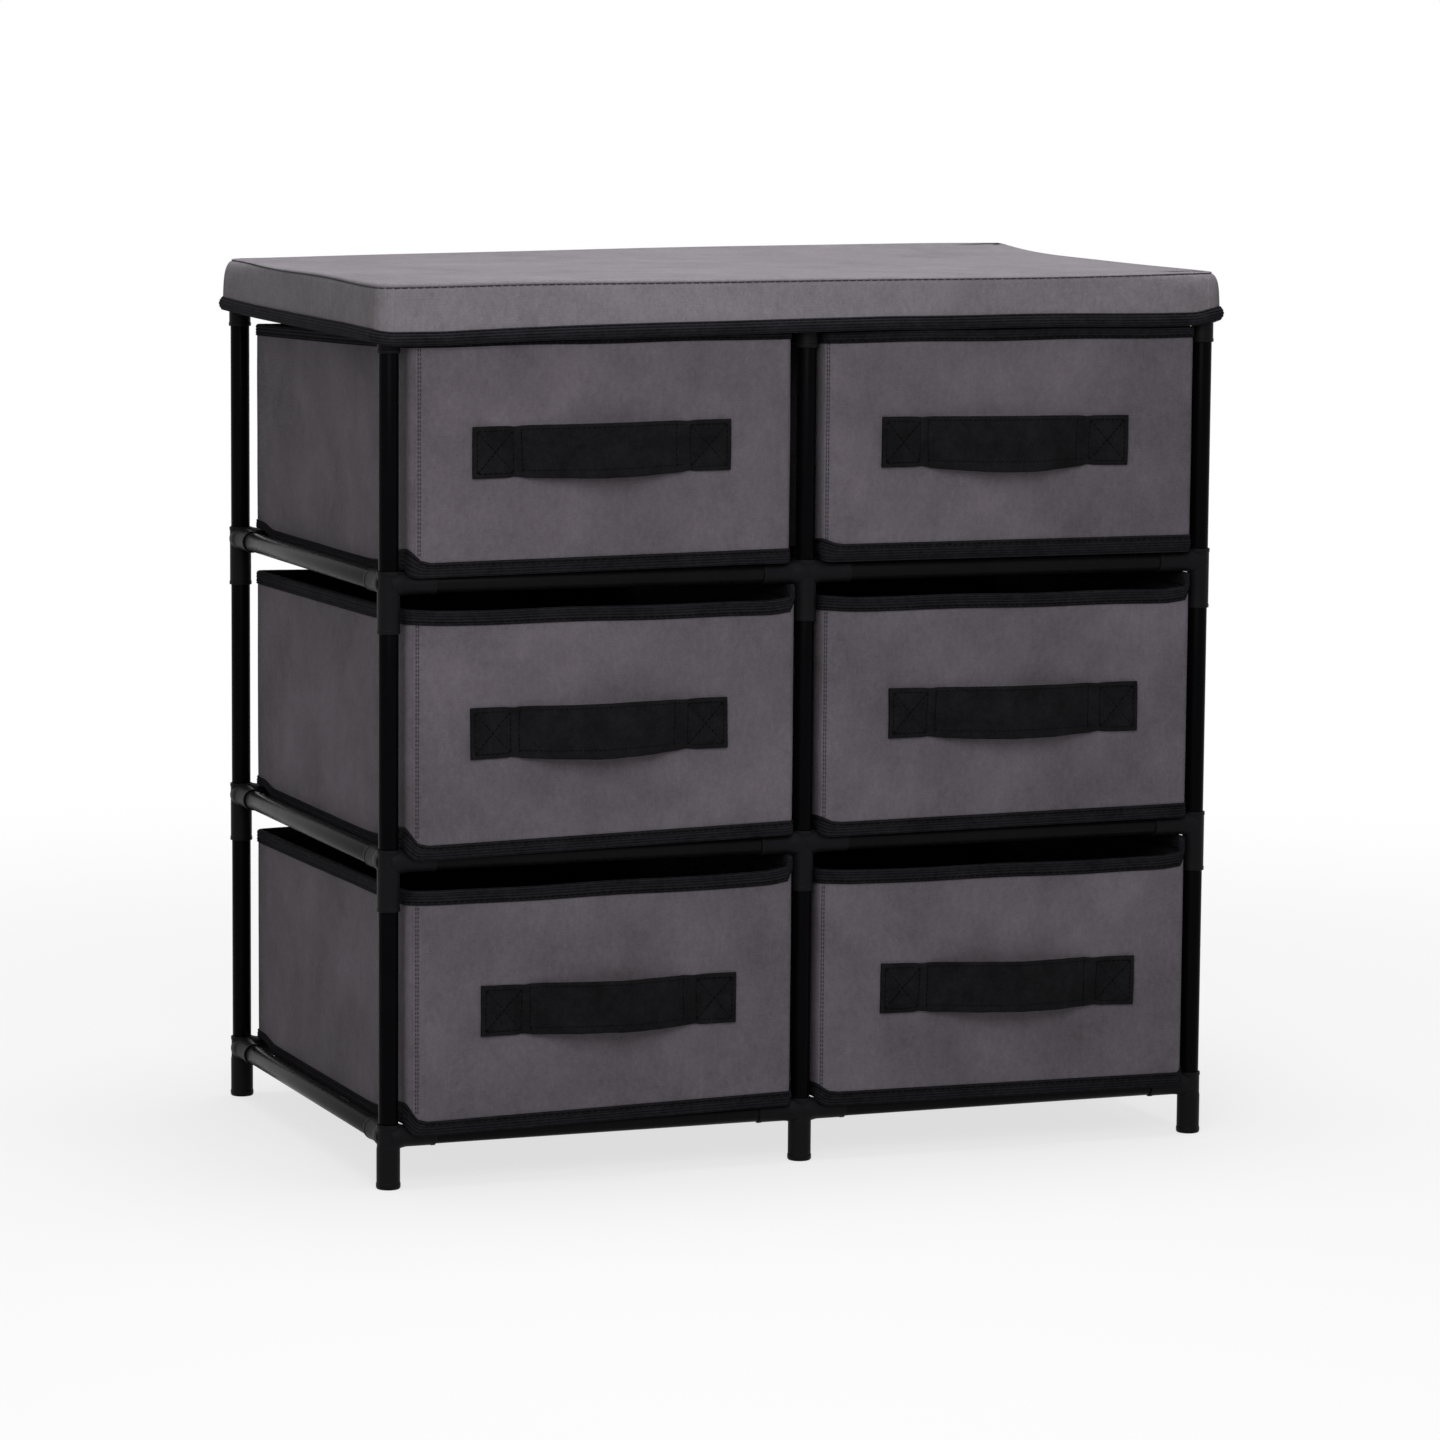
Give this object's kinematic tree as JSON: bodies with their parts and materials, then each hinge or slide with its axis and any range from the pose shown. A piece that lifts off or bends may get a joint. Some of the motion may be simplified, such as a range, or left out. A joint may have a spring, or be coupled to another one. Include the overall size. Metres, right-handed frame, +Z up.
{
  "type": "drawer cabinet",
  "caption": "Low storage cabinet: a push-fit tube frame on feet that holds rows of pull-out fabric drawers with strap handles under a padded lift-off lid.",
  "frame": {"origin": "middle of the cabinet's outline, on the floor", "axes": "+X to the right seen from the front, +Y to the back, +Z up; drawers open to -Y"},
  "size_m": [0.5494, 0.3458, 0.5423],
  "materials": {
    "black_tube": "gloss black paint",
    "black_plastic": "satin black moulding",
    "grey_fabric": "matt non-woven cloth",
    "grey_board": "pressed board in matt cloth",
    "black_tape": "woven binding tape",
    "black_webbing": "ribbed webbing",
    "padded_board": "bare pressed board"
  },
  "bodies": {
    "frame": {"post_front_left": "black_plastic", "post_front_middle": "black_plastic", "post_front_right": "black_plastic", "post_rear_left": "black_plastic", "post_rear_middle": "black_plastic", "post_rear_right": "black_plastic", "rail_front_left_level_1": "black_tube", "rail_front_right_level_1": "black_tube", "rail_rear_left_level_1": "black_tube", "rail_rear_right_level_1": "black_tube", "side_tube_left_level_1": "black_tube", "side_tube_middle_level_1": "black_tube", "side_tube_right_level_1": "black_tube", "rail_front_left_level_2": "black_tube", "rail_front_right_level_2": "black_tube", "rail_rear_left_level_2": "black_tube", "rail_rear_right_level_2": "black_tube", "side_tube_left_level_2": "black_tube", "side_tube_middle_level_2": "black_tube", "side_tube_right_level_2": "black_tube", "rail_front_left_level_3": "black_tube", "rail_front_right_level_3": "black_tube", "rail_rear_left_level_3": "black_tube", "rail_rear_right_level_3": "black_tube", "side_tube_left_level_3": "black_tube", "side_tube_middle_level_3": "black_tube", "side_tube_right_level_3": "black_tube", "rail_front_left_level_4": "black_tube", "rail_front_right_level_4": "black_tube", "rail_rear_left_level_4": "black_tube", "rail_rear_right_level_4": "black_tube", "side_tube_left_level_4": "black_tube", "side_tube_middle_level_4": "black_tube", "side_tube_right_level_4": "black_tube"},
    "drawer_left_bottom": {"drawer_left_bottom_shell": "grey_fabric", "drawer_left_bottom_base_board": "grey_board", "drawer_left_bottom_top_tape": "black_tape", "drawer_left_bottom_handle": "black_webbing"},
    "drawer_right_bottom": {"drawer_right_bottom_shell": "grey_fabric", "drawer_right_bottom_base_board": "grey_board", "drawer_right_bottom_top_tape": "black_tape", "drawer_right_bottom_handle": "black_webbing"},
    "drawer_left_middle": {"drawer_left_middle_shell": "grey_fabric", "drawer_left_middle_base_board": "grey_board", "drawer_left_middle_top_tape": "black_tape", "drawer_left_middle_handle": "black_webbing"},
    "drawer_right_middle": {"drawer_right_middle_shell": "grey_fabric", "drawer_right_middle_base_board": "grey_board", "drawer_right_middle_top_tape": "black_tape", "drawer_right_middle_handle": "black_webbing"},
    "drawer_left_top": {"drawer_left_top_shell": "grey_fabric", "drawer_left_top_base_board": "grey_board", "drawer_left_top_top_tape": "black_tape", "drawer_left_top_handle": "black_webbing"},
    "drawer_right_top": {"drawer_right_top_shell": "grey_fabric", "drawer_right_top_base_board": "grey_board", "drawer_right_top_top_tape": "black_tape", "drawer_right_top_handle": "black_webbing"},
    "lid": {"lid_cover": "grey_fabric", "lid_padded_board": "padded_board"}
  },
  "joints": [
    {"name": "drawer_left_bottom_slide", "type": "slide", "parent": "frame", "child": "drawer_left_bottom", "axis": [0, -1, 0], "range_m": [0, 0.29]},
    {"name": "drawer_right_bottom_slide", "type": "slide", "parent": "frame", "child": "drawer_right_bottom", "axis": [0, -1, 0], "range_m": [0, 0.29]},
    {"name": "drawer_left_middle_slide", "type": "slide", "parent": "frame", "child": "drawer_left_middle", "axis": [0, -1, 0], "range_m": [0, 0.29]},
    {"name": "drawer_right_middle_slide", "type": "slide", "parent": "frame", "child": "drawer_right_middle", "axis": [0, -1, 0], "range_m": [0, 0.29]},
    {"name": "drawer_left_top_slide", "type": "slide", "parent": "frame", "child": "drawer_left_top", "axis": [0, -1, 0], "range_m": [0, 0.29]},
    {"name": "drawer_right_top_slide", "type": "slide", "parent": "frame", "child": "drawer_right_top", "axis": [0, -1, 0], "range_m": [0, 0.29]},
    {"name": "lid_lift", "type": "slide", "parent": "frame", "child": "lid", "axis": [0, 0, 1], "range_m": [0, 0.12]}
  ]
}
